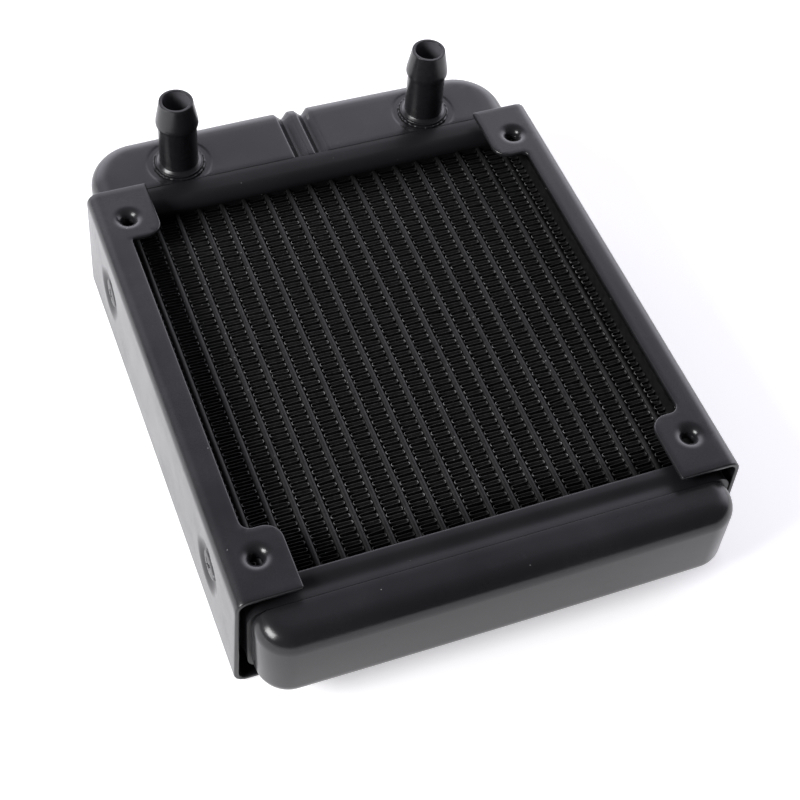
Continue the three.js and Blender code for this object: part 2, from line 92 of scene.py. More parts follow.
MOUTH_Y = 64.1
LIP_Y = MOUTH_Y + 0.35   # where the tank's skins end and its lip begins
TANK_X = 57.4
TANK_HALF = 11.6
TANK_WALL = 1.5
TANK_EDGE = 5.0
RETURN_TANK = {"end": 74.4, "radius": 7.8, "bow": 0.2, "grooves": False, "ports": False}
PORT_TANK = {"end": 84.4, "radius": 13.0, "bow": 0.4, "grooves": True, "ports": True}
GROOVE_X = 2.8
GROOVE_HALF = 1.8
GROOVE_DEPTH = 1.8

PORT_X = 34.1
PORT_Y = 71.0
PORT_TIP_Z = HEIGHT + 17.9
PORT_HOLE_R = 4.9
PORT_HOLE_POINTS = 48
SEAT_R = 8.7             # the shallow pressed seat round each fitting
SEAT_DEPTH = 0.10
# radius of the lighter grey inside the bores, partly painted reflected light
BORE_GREY_R = 3.53
BRAZE_R = 6.3            # the braze bead is outside this radius


# ---- meshes ------------------------------------------------------------------------------------------------
class Soup:
    """Points and faces of one piece."""

    def __init__(self):
        self.points = []
        self.faces = []

    def add(self, points):
        """Adds points and gives their ids."""
        start = len(self.points)
        self.points.extend(np.asarray(points, float).tolist())
        return np.arange(start, len(self.points))

    def band(self, a, b, closed=True):
        """Joins two rows of points, or two rings when closed, with four-sided faces."""
        n = len(a)
        for i in range(n if closed else n - 1):
            j = (i + 1) % n
            self.faces.append((a[j], a[i], b[i], b[j]))

    def volume(self):
        p = np.array(self.points)
        total = 0.0
        for face in self.faces:
            for k in range(1, len(face) - 1):
                total += np.dot(p[face[0]], np.cross(p[face[k]], p[face[k + 1]]))
        return total / 6


def piece(name, soup, material, nodes, angle=35.0, turn=False):
    """A piece from a soup, smooth but for edges sharper than the angle. turn carries it to the far side."""
    faces = soup.faces
    if soup.volume() < 0:
        faces = [tuple(reversed(face)) for face in faces]
    points = np.array(soup.points)
    if turn:
        points[:, :2] *= -1
    points[:, 1] += SHIFT_Y
    mesh = bpy.data.meshes.new(name)
    mesh.from_pydata((points * MM).tolist(), [], [tuple(int(i) for i in face) for face in faces])
    mesh.shade_smooth()
    mesh.set_sharp_from_angle(angle=math.radians(angle))
    mesh.materials.append(material)
    obj = bpy.data.objects.new(name, mesh)
    bpy.context.scene.collection.objects.link(obj)
    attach(obj, "root")
    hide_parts(*nodes)
    return obj


def outline(corners, step):
    """Points and outward normals of an anticlockwise outline of (x, y, corner radius), a step apart."""
    points = []
    count = len(corners)
    arcs = []
    for i, (x, y, r) in enumerate(corners):
        here = np.array([x, y], float)
        back = np.array(corners[i - 1][:2], float) - here
        ahead = np.array(corners[(i + 1) % count][:2], float) - here
        back /= np.linalg.norm(back)
        ahead /= np.linalg.norm(ahead)
        half = math.acos(max(-1.0, min(1.0, float(back @ ahead)))) / 2
        centre = here + (back + ahead) / np.linalg.norm(back + ahead) * r / math.sin(half)
        start = here + back * r / math.tan(half) - centre
        turn = math.pi - 2 * half
        if back[0] * ahead[1] - back[1] * ahead[0] > 0:
            turn = -turn
        steps = max(3, int(math.ceil(abs(turn) * r / step)), int(abs(turn) / 0.2))
        arc = []
        for k in range(steps + 1):
            a = turn * k / steps
            c, s = math.cos(a), math.sin(a)
            arc.append(centre + [start[0] * c - start[1] * s, start[0] * s + start[1] * c])
        arcs.append(arc)
    for i, arc in enumerate(arcs):
        points.extend(arc)
        a, b = arc[-1], arcs[(i + 1) % count][0]
        steps = int(np.linalg.norm(b - a) // step) + 1
        points.extend(a + (b - a) * k / steps for k in range(1, steps))
    points = np.array(points)
    return points, normals_of(points)


def normals_of(points):
    """Outward normals of a closed anticlockwise loop, and normals into the hole of a clockwise one."""
    ahead = np.roll(points, -1, 0) - points
    ahead /= np.linalg.norm(ahead, axis=1)[:, None]
    tangent = ahead + np.roll(ahead, 1, 0)
    tangent /= np.linalg.norm(tangent, axis=1)[:, None]
    return np.stack([tangent[:, 1], -tangent[:, 0]], 1)


def circle(x, y, r, count):
    """A clockwise circle: the edge of a hole, with its normals pointing into the hole."""
    a = -np.arange(count) * 2 * math.pi / count
    unit = np.stack([np.cos(a), np.sin(a)], 1)
    return np.array([x, y]) + unit * r, -unit


def inside(points, loop):
    """Which points are inside a loop."""
    x, y = points[:, 0][:, None], points[:, 1][:, None]
    x0, y0 = loop[:, 0][None], loop[:, 1][None]
    x1, y1 = np.roll(loop[:, 0], -1)[None], np.roll(loop[:, 1], -1)[None]
    dy = np.where(y1 == y0, 1e-12, y1 - y0)
    crosses = ((y0 > y) != (y1 > y)) & (x < x0 + (y - y0) * (x1 - x0) / dy)
    return crosses.sum(1) % 2 == 1


def triangulate(loops, spare, gap):
    """Triangles of the region inside the first loop and outside the others. spare are points to use inside
    it, unless they are nearer than the gap to a loop. The loops' points come first, in order."""
    keep = inside(spare, loops[0])
    for hole in loops[1:]:
        keep &= ~inside(spare, hole)
    spare = spare[keep]
    edge = np.concatenate(loops)
    far = np.ones(len(spare), bool)
    for k in range(0, len(spare), 2000):
        d = np.linalg.norm(spare[k:k + 2000, None] - edge[None], axis=2).min(1)
        far[k:k + 2000] = d > gap
    points = np.concatenate([edge, spare[far]])
    edges, start = [], 0
    for loop in loops:
        n = len(loop)
        edges += [(start + i, start + (i + 1) % n) for i in range(n)]
        start += n
    _, _, faces, origins, _, _ = delaunay_2d_cdt([Vector(p) for p in points], edges, [], 0, 1e-7)
    source = [o[0] if o else -1 for o in origins]
    tris = np.array([[source[i] for i in face] for face in faces if len(face) == 3])
    tris = tris[(tris >= 0).all(1)]
    middle = points[tris].mean(1)
    good = inside(middle, loops[0])
    for hole in loops[1:]:
        good &= ~inside(middle, hole)
    tris = tris[good]
    a, b, c = points[tris[:, 0]], points[tris[:, 1]], points[tris[:, 2]]
    turn = (b - a)[:, 0] * (c - a)[:, 1] - (b - a)[:, 1] * (c - a)[:, 0]
    tris[turn < 0] = tris[turn < 0][:, ::-1]
    return points, tris[abs(turn) > 1e-10]


def lathe(profile, count):
    """A ring-shaped solid of revolution about Z, from a closed profile of (radius, z)."""
    soup = Soup()
    a = np.arange(count) * 2 * math.pi / count
    rings = [soup.add(np.stack([r * np.cos(a), r * np.sin(a), np.full(count, z)], 1)) for r, z in profile]
    for low, high in zip(rings, rings[1:] + rings[:1]):
        soup.band(low, high)
    return soup


def fillet(a, corner, b, r, steps):
    """Points of a rounded corner between two straight stretches of a profile."""
    a, corner, b = (np.array(p, float) for p in (a, corner, b))
    back = (a - corner) / np.linalg.norm(a - corner)
    ahead = (b - corner) / np.linalg.norm(b - corner)
    half = math.acos(float(np.clip(back @ ahead, -1, 1))) / 2
    start, end = corner + back * r / math.tan(half), corner + ahead * r / math.tan(half)
    centre = corner + (back + ahead) / np.linalg.norm(back + ahead) * r / math.sin(half)
    points = []
    for k in range(steps + 1):
        v = (start - centre) * (1 - k / steps) + (end - centre) * k / steps
        points.append(tuple(centre + v / np.linalg.norm(v) * r))
    return points


def softened(path, steps):
    """A profile from (r, z, rounding) corners, its two ends kept."""
    out = [tuple(path[0][:2])]
    for before, corner, after in zip(path, path[1:], path[2:]):
        out += fillet(before[:2], corner[:2], after[:2], corner[2], steps)
    return out + [tuple(path[-1][:2])]


# ---- materials ---------------------------------------------------------------------------------------------
class Nodes:
    """A short way to write a node tree."""

    def __init__(self, name):
        self.material = bpy.data.materials.new(name)
        self.material.use_nodes = True
        self.tree = self.material.node_tree
        self.tree.nodes.clear()
        self.out = self.add("ShaderNodeOutputMaterial")
        self.coord = self.add("ShaderNodeTexCoord").outputs["Object"]

    def add(self, kind, settings=None, **inputs):
        node = self.tree.nodes.new(kind)
        for key, value in (settings or {}).items():
            setattr(node, key, value)
        for key, value in inputs.items():
            self.put(node, key.replace("_", " "), value)
        return node

    def put(self, node, key, value):
        """Sets or links an input by its name, or by its number when the key is i and a number."""
        socket = node.inputs[int(key[1:])] if key[0] == "i" and key[1:].isdigit() else node.inputs[key]
        if isinstance(value, bpy.types.NodeSocket):
            self.tree.links.new(value, socket)
        else:
            socket.default_value = value

    def noise(self, size_mm, detail=2.0, rough=0.5):
        node = self.add("ShaderNodeTexNoise", Scale=1000 / size_mm, Detail=detail, Roughness=rough)
        self.put(node, "Vector", self.coord)
        return node.outputs["Fac"]

    def ramp(self, value, low, high, to_low=0.0, to_high=1.0):
        sockets = dict(i0=value, i1=low, i2=high, i3=to_low, i4=to_high)
        return self.add("ShaderNodeMapRange", {"clamp": True}, **sockets).outputs[0]

    def math(self, operation, a, b):
        return self.add("ShaderNodeMath", {"operation": operation}, i0=a, i1=b).outputs[0]

    def blend(self, fac, a, b):
        node = self.add("ShaderNodeMix", {"data_type": "RGBA"}, i0=fac, i6=a, i7=b)
        return node.outputs[2]

    def specks(self, cell_mm, share, size):
        """Small round grains: one in a share of the cells, each smaller than the size times a cell."""
        cell = self.add("ShaderNodeTexVoronoi", Scale=1000 / cell_mm)
        self.put(cell, "Vector", self.coord)
        near = self.math("LESS_THAN", cell.outputs["Distance"], size)
        split = self.add("ShaderNodeSeparateColor")
        self.put(split, "i0", cell.outputs["Color"])
        rare = self.math("LESS_THAN", split.outputs[0], share)
        return self.math("MULTIPLY", near, rare)

    def bump(self, height, distance_mm, strength=1.0, under=None):
        node = self.add("ShaderNodeBump", Strength=strength, Distance=distance_mm * MM, Height=height)
        if under is not None:
            self.put(node, "Normal", under)
        return node.outputs[0]

    def surface(self, **inputs):
        bsdf = self.add("ShaderNodeBsdfPrincipled", **inputs)
        self.put(self.out, "Surface", bsdf.outputs[0])
        return self.material


def grey(value, cool=0.0):
    """A grey, with a share of blue in it."""
    return (value, value * (1 - cool * 0.15), value * (1 + cool), 1.0)


def paint(name, dark, light, rough, grain_mm, grain_depth, dust, ior, bores=False):
    """Satin black paint: a fine orange peel, a cloudy gloss and a few grains of dust. With bores it is
    lighter grey inside the two hose fittings' bores, partly their own grey and partly painted reflected
    light."""
    n = Nodes(name)
    cloud = n.noise(14, 3.0)
    fine = n.noise(grain_mm, 2.0, 0.6)
    micro = n.noise(0.09, 1.0)
    colour = n.blend(n.ramp(cloud, 0.3, 0.7), grey(dark, 0.14), grey(light, 0.12))
    colour = n.blend(n.math("MULTIPLY", n.specks(4.2, 0.22, 0.028), dust), colour, grey(0.33))
    if bores:
        # Inside the bores: a lighter grey, partly the bores' own tone and partly painted reflected light.
        place = n.add("ShaderNodeSeparateXYZ", i0=n.coord)
        across = n.math("SUBTRACT", n.math("ABSOLUTE", place.outputs["X"], 0.0), PORT_X * MM)
        along = n.math("SUBTRACT", place.outputs["Y"], (PORT_Y + SHIFT_Y) * MM)
        square = n.math("ADD", n.math("MULTIPLY", across, across), n.math("MULTIPLY", along, along))
        colour = n.blend(n.math("LESS_THAN", square, (BORE_GREY_R * MM) ** 2), colour, grey(0.09, 0.1))
    broad = n.ramp(cloud, 0.25, 0.75, rough - 0.035, rough + 0.035)
    gloss = n.math("ADD", broad, n.ramp(micro, 0.3, 0.7, -0.02, 0.02))
    relief = n.bump(micro, 0.004, 0.35, n.bump(fine, grain_depth, 0.6, n.bump(n.noise(3.5, 1.0), 0.02, 0.5)))
    return n.surface(Base_Color=colour, Roughness=gloss, IOR=ior, Normal=relief)


def core_paint(name, base, rough, ior, turns=False):
    """Thin matte paint on the core, greyer where it is thin, with flux grains that catch the light, and
    painted shade near the headers. turns paints glints here and there on the top edges of the fins' turns in
    a light grey."""
    n = Nodes(name)
    patch = n.noise(1.1, 3.0, 0.6)
    colour = n.blend(n.ramp(patch, 0.35, 0.7), grey(base * 0.7), grey(base * 1.4))
    grain = n.specks(1.3, 0.10, 0.11)
    colour = n.blend(grain, colour, grey(0.16))
    place = n.add("ShaderNodeSeparateXYZ", i0=n.coord)
    off_middle = n.math("ABSOLUTE", n.math("SUBTRACT", place.outputs["Y"], SHIFT_Y * MM), 0.0)
    # Painted shade near the headers: between these distances from the middle the colour goes nearly black and
    # the sheen drops.
    painted_shade_from, painted_shade_to = 46 * MM, 56 * MM
    painted_header_shade = n.ramp(off_middle, painted_shade_from, painted_shade_to)
    if turns:
        # Painted glints: here and there a lighter grey on the top edges of the fins' turns stands in for
        # highlights.
        phase = n.math("FRACT", n.math("MULTIPLY", place.outputs["X"], 1000 / PITCH), 0.0)
        near = n.ramp(n.math("ABSOLUTE", n.math("SUBTRACT", phase, 0.5), 0.0), 0.20, 0.178)
        high = n.ramp(place.outputs["Z"], (FIN_TOP_Z - 0.35) * MM, (FIN_TOP_Z - 0.08) * MM)
        wear_and_glint = n.math("MULTIPLY", n.math("MULTIPLY", near, high), n.ramp(n.noise(0.7, 2.0), 0.36, 0.62))
        colour = n.blend(wear_and_glint, colour, grey(0.19))
    # Painted shade: nearly black near the headers.
    colour = n.blend(painted_header_shade, colour, grey(0.004))
    gloss = n.ramp(patch, 0.3, 0.7, rough - 0.06, rough + 0.08)
    relief = n.bump(n.noise(0.25, 2.0), 0.012, 0.6, n.bump(patch, 0.03, 0.5))
    sheen = n.ramp(off_middle, painted_shade_from, painted_shade_to, 0.5, 0.22)
    return n.surface(Base_Color=colour, Roughness=gloss, IOR=ior, Specular_IOR_Level=sheen, Normal=relief)


def screw_metal(name):
    """Black zinc on steel, worn to grey metal on its highest edges."""
    n = Nodes(name)
    wear_and_glint = n.ramp(n.noise(0.5, 3.0, 0.6), 0.5, 0.72)
    edge = n.add("ShaderNodeNewGeometry").outputs["Pointiness"]
    share = n.math("MULTIPLY", n.ramp(edge, 0.5, 0.58), n.ramp(wear_and_glint, 0.0, 1.0, 0.55, 1.0))
    colour = n.blend(share, grey(0.022, 0.05), grey(0.30, 0.02))
    gloss = n.ramp(n.noise(0.2, 2.0), 0.3, 0.7, 0.3, 0.46)
    relief = n.bump(n.noise(0.12, 2.0), 0.004, 0.5)
    return n.surface(Base_Color=colour, Metallic=0.85, Roughness=gloss, Normal=relief)


CHANNEL_PAINT = paint("channel_paint", dark=0.010, light=0.014, rough=0.26, grain_mm=0.30, grain_depth=0.005,
                      dust=1.0, ior=1.45)
TANK_PAINT = paint("tank_paint", dark=0.010, light=0.013, rough=0.24, grain_mm=0.42, grain_depth=0.005,
                   dust=0.8, ior=1.42)
HEADER_PAINT = paint("header_paint", dark=0.009, light=0.011, rough=0.34, grain_mm=0.35, grain_depth=0.008,
                     dust=0.5, ior=1.34)
FITTING_PAINT = paint("fitting_paint", dark=0.009, light=0.012, rough=0.27, grain_mm=0.30, grain_depth=0.004,
                      dust=0.3, ior=1.45, bores=True)
TUBE_PAINT = core_paint("tube_paint", base=0.007, rough=0.42, ior=1.30)
FIN_PAINT = core_paint("fin_paint", base=0.024, rough=0.70, ior=1.22, turns=True)
SCREW_METAL = screw_metal("screw_metal")


# ---- channels ----------------------------------------------------------------------------------------------
SPLAY_ANGLE = math.atan(CHANNEL_SPLAY / (HEIGHT - 2 * BEND_R))
TOP_FLAT = CHANNEL_X - BEND_R - TAB_X
TOP_BEND = TOP_FLAT + BEND_R * (math.pi / 2 - SPLAY_ANGLE)
WEB_END = TOP_BEND + (HEIGHT - 2 * BEND_R) / math.cos(SPLAY_ANGLE)
LOW_BEND = WEB_END + BEND_R * (math.pi / 2 + SPLAY_ANGLE)
BLANK_WIDTH = LOW_BEND + TOP_FLAT + CHANNEL_SPLAY
SCREW_S = TOP_BEND + (HEIGHT - BEND_R - MID_Z) / math.cos(SPLAY_ANGLE)
HOLES = [(FAN_HOLE - TAB_X, side * FAN_HOLE) for side in (-1, 1)]
HOLES += [(BLANK_WIDTH - (FAN_HOLE - TAB_X), side * FAN_HOLE) for side in (-1, 1)]
PADS = [(SCREW_S, side * SCREW_Y) for side in (-1, 1)]


def folded(s):
    """Where the blank's coordinate s comes to lie: x, z and the outward normal's x and z."""
    web = np.array([math.sin(SPLAY_ANGLE), -math.cos(SPLAY_ANGLE)])
    high = np.array([CHANNEL_X - BEND_R, HEIGHT - BEND_R])
    low = high + web * (WEB_END - TOP_BEND)
    bends = [TOP_FLAT, TOP_BEND, WEB_END, LOW_BEND]
    angle = np.interp(s, bends, [math.pi / 2, SPLAY_ANGLE, SPLAY_ANGLE, -math.pi / 2])
    nx, nz = np.cos(angle), np.sin(angle)
    cx = np.where(s < TOP_FLAT, TAB_X + s, high[0])
    cz = np.full_like(s, high[1])
    along = np.clip((s - TOP_BEND) / (WEB_END - TOP_BEND), 0, 1)
    cx = np.where(s > TOP_FLAT, high[0] + along * (low[0] - high[0]), cx)
    cz = np.where(s > TOP_FLAT, high[1] + along * (low[1] - high[1]), cz)
    cx = np.where(s > LOW_BEND, low[0] - (s - LOW_BEND), cx)
    return cx + BEND_R * nx, cz + BEND_R * nz, nx, nz


def pressed(p):
    """How deep the pressings are at points of the blank."""
    depth = np.zeros(len(p))
    for x, y in HOLES:
        r = np.hypot(p[:, 0] - x, p[:, 1] - y)
        t = np.clip((r - FAN_HOLE_R) / (DIMPLE_R - FAN_HOLE_R), 0, 1)
        depth += DIMPLE_DEPTH * (1 - t) ** 2.8
    for x, y in PADS:
        r = np.hypot(p[:, 0] - x, p[:, 1] - y)
        t = np.clip((r - PAD_FLOOR_R) / (PAD_R - PAD_FLOOR_R), 0, 1)
        depth += PAD_DEPTH * 0.5 * (1 + np.cos(math.pi * t))
    return depth


def channel_soup(fillets):
    """The right channel. fillets are the radii at the foot of its tabs: top front and rear, then bottom."""
    def on_sheet(p, depth, collars=False):
        """Points of the blank, pressed and folded, at a depth below the sheet's outer face. With collars,
        those near a fan hole are moved away from it to make room for its collar."""
        p = np.array(p, float)
        if collars:
            for x, y in HOLES:
                d = p - [x, y]
                r = np.hypot(d[:, 0], d[:, 1])
                reach = DIMPLE_R + 0.6
                first = FAN_HOLE_R + 0.2
                near = r < reach
                moved = COLLAR_R + (r - first) * (reach - COLLAR_R) / (reach - first)
                p[near] = [x, y] + d[near] * (moved[near] / r[near])[:, None]
        x, z, nx, nz = folded(p[:, 0])
        sink = pressed(p) + depth
        return np.stack([x - nx * sink, p[:, 1], z - nz * sink], 1)

    step = 1.2
    flange = FLANGE_X - TAB_X
    end, root = CHANNEL_END_Y, TAB_Y
    w = BLANK_WIDTH
    tip_r, tab_r = 0.5, 4.2
    corners = [
        (0, -end, tip_r), (w, -end, tip_r), (w, -root, tab_r), (w - flange, -root, fillets[2]),
        (w - flange, root, fillets[3]), (w, root, tab_r), (w, end, tip_r), (0, end, tip_r),
        (0, root, tab_r), (flange, root, fillets[1]), (flange, -root, fillets[0]), (0, -root, tab_r),
    ]
    rounding = 0.42
    curve = [math.radians(a) for a in (22.5, 45, 67.5, 90)]
    loops = [outline(corners, step)]
    segments = 48
    loops += [circle(x, y, FAN_HOLE_R, segments) for x, y in HOLES]
    loops += [circle(x, y, SCREW_HOLE_R, 32) for x, y in PADS]

    columns = [*np.arange(0, TOP_FLAT, 1.6), *np.linspace(TOP_FLAT, TOP_BEND, 9)]
    columns += np.arange(TOP_BEND + 1.4, WEB_END, 1.7).tolist()
    columns += [*np.linspace(WEB_END, LOW_BEND, 9), *np.arange(LOW_BEND + 1.3, w, 1.6)]
    rows = np.arange(-end + 0.4, end, 1.5)
    grid = np.array([(s, y) for s in columns for y in rows])
    spots = []
    for x, y in HOLES:
        grid = grid[np.hypot(grid[:, 0] - x, grid[:, 1] - y) > DIMPLE_R + 0.8]
        spots += [circle(x, y, r, segments)[0] for r in np.arange(FAN_HOLE_R + 0.45, DIMPLE_R + 0.7, 0.25)]
    for x, y in PADS:
        grid = grid[np.hypot(grid[:, 0] - x, grid[:, 1] - y) > PAD_R + 0.6]
        spots += [circle(x, y, r, 72)[0] for r in np.arange(2.6, PAD_R + 0.4, 0.36)]
    spare = np.concatenate([grid, *spots])

    soup = Soup()
    inset = [p - n * rounding for p, n in loops]
    flat, tris = triangulate(inset, spare, 0.16)
    outer = soup.add(on_sheet(flat, 0))
    inner = soup.add(on_sheet(flat, SHEET, collars=True))
    soup.faces += [tuple(outer[t]) for t in tris]
    soup.faces += [tuple(inner[t][::-1]) for t in tris]
    start = 0
    for number, (p, n) in enumerate(loops):
        ids = np.arange(start, start + len(p))
        start += len(p)
        rings = [outer[ids]]
        for a in curve:
            sunk = rounding * (1 - math.cos(a))
            rings.append(soup.add(on_sheet(p - n * rounding * (1 - math.sin(a)), sunk)))
        if 1 <= number <= len(HOLES):
            bottom = SHEET + COLLAR_DEPTH
            turn = np.arange(len(p)) / len(p)
            for depth in np.arange(rounding + 0.1, bottom - 0.12, THREAD_PITCH / 7):
                phase = (depth / THREAD_PITCH + turn) % 1
                fade = min(1.0, (depth - rounding) / 0.3, (bottom - depth) / 0.3)
                cut = 0.24 * fade * (1 - abs(2 * phase - 1) * 1.1).clip(0, 1)
                rings.append(soup.add(on_sheet(p + n * (0.12 * fade - cut)[:, None], depth)))
            rings.append(soup.add(on_sheet(p - n * 0.05, bottom)))
            rings.append(soup.add(on_sheet(p - n * (COLLAR_R - FAN_HOLE_R - 0.1), bottom)))
            rings.append(soup.add(on_sheet(p - n * (COLLAR_R - FAN_HOLE_R), bottom - 0.1)))
        else:
            for a in curve[::-1]:
                sunk = SHEET - rounding * (1 - math.cos(a))
                rings.append(soup.add(on_sheet(p - n * rounding * (1 - math.sin(a)), sunk)))
        rings.append(inner[ids])
        for a, b in zip(rings, rings[1:]):
            soup.band(a, b)
    return soup


def screw_soup(side_y, turn_deg):
    """A low pan head screw in the right channel, with a cross recess and a thread."""
    head, height, shank, length = 3.8, 1.0, 1.45, 2.8
    recess_depth, thread_pitch, thread_depth = 0.85, 0.5, 0.22
    count = 96
    a = np.arange(count) * 2 * math.pi / count
    soup = Soup()

    def recess(r):
        """Depth of the cross recess along a circle: four tapering wings and a round middle."""
        x, y = r * np.cos(a), r * np.sin(a)
        across = np.minimum(abs(x), abs(y))
        half = 0.52 - 0.09 * r
        wing = np.clip((half - across) / 0.16 + 0.5, 0, 1) * np.clip((2.15 - r) / 0.5, 0, 1)
        core = np.clip((1.05 - r) / 0.3, 0, 1)
        return recess_depth * np.maximum(wing, core)

    def crown(r):
        """Height of the head's low dome, which drops away near its rim."""
        t = min(1.0, r / head)
        return height - 0.22 * t ** 2 - 0.34 * max(0.0, (t - 0.86) / 0.14) ** 2

    def ring(r, z):
        return soup.add(np.stack([r * np.cos(a), r * np.sin(a), 0 * a + z], 1))

    rings = [soup.add([(0, 0, height - recess_depth)])]
    for r in [*np.arange(0.15, 2.5, 0.13), 2.7, 3.0, 3.25, 3.4, 3.52, 3.62, 3.7, 3.76, head]:
        rings.append(ring(r, crown(r) - recess(r)))
    rings.append(ring(head - 0.06, 0.03))
    rings.append(ring(shank, 0.03))
    for z in np.arange(-0.1, -length + 0.35, -0.07):
        phase = (z / thread_pitch + a / (2 * math.pi)) % 1
        rings.append(ring(shank - thread_depth * abs(2 * phase - 1), z))
    rings.append(ring(0.9, -length))
    rings.append(soup.add([(0, 0, -length)]))
    soup.faces += [(rings[0][0], rings[1][i], rings[1][(i + 1) % count]) for i in range(count)]
    for low, high in zip(rings[1:-1], rings[2:-1]):
        soup.band(low, high)
    soup.faces += [(rings[-2][(i + 1) % count], rings[-2][i], rings[-1][0]) for i in range(count)]
    face_x = CHANNEL_X + CHANNEL_SPLAY * (HEIGHT - BEND_R - MID_Z) / (HEIGHT - 2 * BEND_R)
    seat = Matrix.Translation((face_x - PAD_DEPTH + 0.06, side_y, MID_Z))
    place = seat @ Matrix.Rotation(math.pi / 2, 4, "Y")
    place = place @ Matrix.Rotation(math.radians(turn_deg), 4, "Z")
    soup.points = [list(place @ Vector(p)) for p in soup.points]
    return soup


piece("side_channel_right_sheet", channel_soup((2.4, 1.4, 2.4, 2.4)), CHANNEL_PAINT,
      ["side_channel_right"], 40)
piece("side_channel_left_sheet", channel_soup((0.7, 2.4, 2.4, 2.4)), CHANNEL_PAINT,
      ["side_channel_left"], 40, turn=True)
for side, turned in (("right", False), ("left", True)):
    for end, sign, angle in (("front", -1, 20), ("rear", 1, 52)):
        soup = screw_soup(-sign * SCREW_Y if turned else sign * SCREW_Y, angle + (30 if turned else 0))
        node = f"channel_screw_{side}_{end}"
        piece(f"{node}_head", soup, SCREW_METAL, [node], 30, turn=turned)


# ---- core --------------------------------------------------------------------------------------------------
def oval(r, half):
    """A flat oval in X and Z about the core's middle."""
    a = np.linspace(0, math.pi, 9)
    top = np.stack([r * np.cos(a), MID_Z + half - TUBE_R + r * np.sin(a)], 1)
    low = np.stack([-r * np.cos(a), MID_Z - half + TUBE_R - r * np.sin(a)], 1)
    return np.concatenate([top, low])


def tube_soup(x, rng):
    """A flat tube with open ends, hollow, and not quite straight."""
    soup = Soup()
    stations = np.linspace(-TUBE_END_Y, TUBE_END_Y, 33)
    sway = np.interp(np.linspace(0, 8, 33), range(9), [rng.uniform(-0.05, 0.05) for _ in range(9)])
    lift = np.interp(np.linspace(0, 8, 33), range(9), [rng.uniform(-0.08, 0.04) for _ in range(9)])
    skins = []
    for r in (TUBE_R, TUBE_R - TUBE_WALL):
        rings = []
        for y, dx, dz in zip(stations, sway, lift):
            p = oval(r, CORE_HALF - 0.1)
            rings.append(soup.add(np.stack([x + p[:, 0] + dx, np.full(len(p), y), p[:, 1] + dz], 1)))
        skins.append(rings)
    for a, b in zip(skins[0], skins[0][1:]):
        soup.band(a, b)
    for a, b in zip(skins[1], skins[1][1:]):
        soup.band(b, a)
    soup.band(skins[1][0], skins[0][0])
    soup.band(skins[0][-1], skins[1][-1])
    return soup


def fin_soup(x0, x1, rng):
    """A corrugated strip that touches both tubes. Its waves vary a little, and a few are bent."""
    soup = Soup()
    middle, reach = (x0 + x1) / 2, (x1 - x0) / 2 - 0.05
    pitch = 2 * FIN_END_Y / FIN_WAVES
    r = pitch / 4
    centres = []
    turns = 2 * FIN_WAVES
    wander = 0.0
    for i in range(turns):
        wander = 0.8 * wander + rng.gauss(0, 0.035)
        centres.append(-FIN_END_Y + pitch / 4 + i * pitch / 2 + wander * 0.5)
    path, bend = [], []
    steps = 6
    for i in range(turns):
        side = 1 if i % 2 else -1
        out = reach - abs(rng.gauss(0, 0.05))
        lean = rng.gauss(0, 0.05) + (rng.uniform(-0.28, 0.28) if rng.random() < 0.035 else 0.0)
        for k in range(steps + 1):
            a = math.pi * k / steps
            path.append((middle + side * (out - r + r * math.sin(a)), centres[i] - r * math.cos(a) * 0.98))
            bend.append(lean)
    path, bend = np.array(path), np.array(bend)
    tangent = np.gradient(path, axis=0)
    tangent /= np.linalg.norm(tangent, axis=1)[:, None]
    normal = np.stack([tangent[:, 1], -tangent[:, 0]], 1) * FIN_SHEET / 2
    low, high = 2 * MID_Z - FIN_TOP_Z, FIN_TOP_Z
    ripple = np.array([rng.gauss(0, 0.02) for _ in path])
    levels = [(low, 0.6), (low + 1.3, 0.0), (high - 1.3, 0.0), (high, 1.0)]
    sides = []
    for sign in (1, -1):
        for z, share in (levels if sign > 0 else levels[::-1]):
            p = path + normal * sign
            edge = np.full(len(p), z) + (ripple if share else 0)
            sides.append(soup.add(np.stack([p[:, 0], p[:, 1] + bend * share, edge], 1)))
    for a, b in zip(sides, sides[1:] + sides[:1]):
        soup.band(a, b, closed=False)
    ends = [[s[0] for s in sides], [s[-1] for s in sides]]
    for k, ring in enumerate(ends):
        n = len(ring)
        for i in range(n // 2 - 1):
            face = (ring[i], ring[i + 1], ring[n - 2 - i], ring[n - 1 - i])
            soup.faces.append(face if k else face[::-1])
    return soup


first_x = -PITCH * (TUBES - 1) / 2
rng = random.Random(11)
for i in range(TUBES):
    number = f"{i + 1:02d}"
    piece(f"tube_{number}", tube_soup(first_x + i * PITCH, rng), TUBE_PAINT, [f"flat_tube_{number}"])
for i in range(TUBES + 1):
    left = -OUTER_FIN_X if i == 0 else first_x + (i - 1) * PITCH + TUBE_R
    right = OUTER_FIN_X if i == TUBES else first_x + i * PITCH - TUBE_R
    piece(f"fins_{i + 1:02d}", fin_soup(left, right, rng), FIN_PAINT, [f"fin_strip_{i + 1:02d}"], 60)


# ---- headers and tanks -------------------------------------------------------------------------------------
def section(half_x, half_z, r, steps=10):
    """A rounded rectangle about the core's middle, in X and Z."""
    points = []
    for quarter, (sx, sz) in enumerate(((1, 1), (-1, 1), (-1, -1), (1, -1))):
        for k in range(steps + 1):
            a = (quarter + k / steps) * math.pi / 2
            points.append((sx * (half_x - r) + r * math.cos(a), sz * (half_z - r) + r * math.sin(a)))
    return np.array(points)


def standing(p, y):
    """Points in X and Z about the core's middle, set upright at y."""
    return np.stack([p[:, 0], np.full(len(p), y), MID_Z + p[:, 1]], 1)


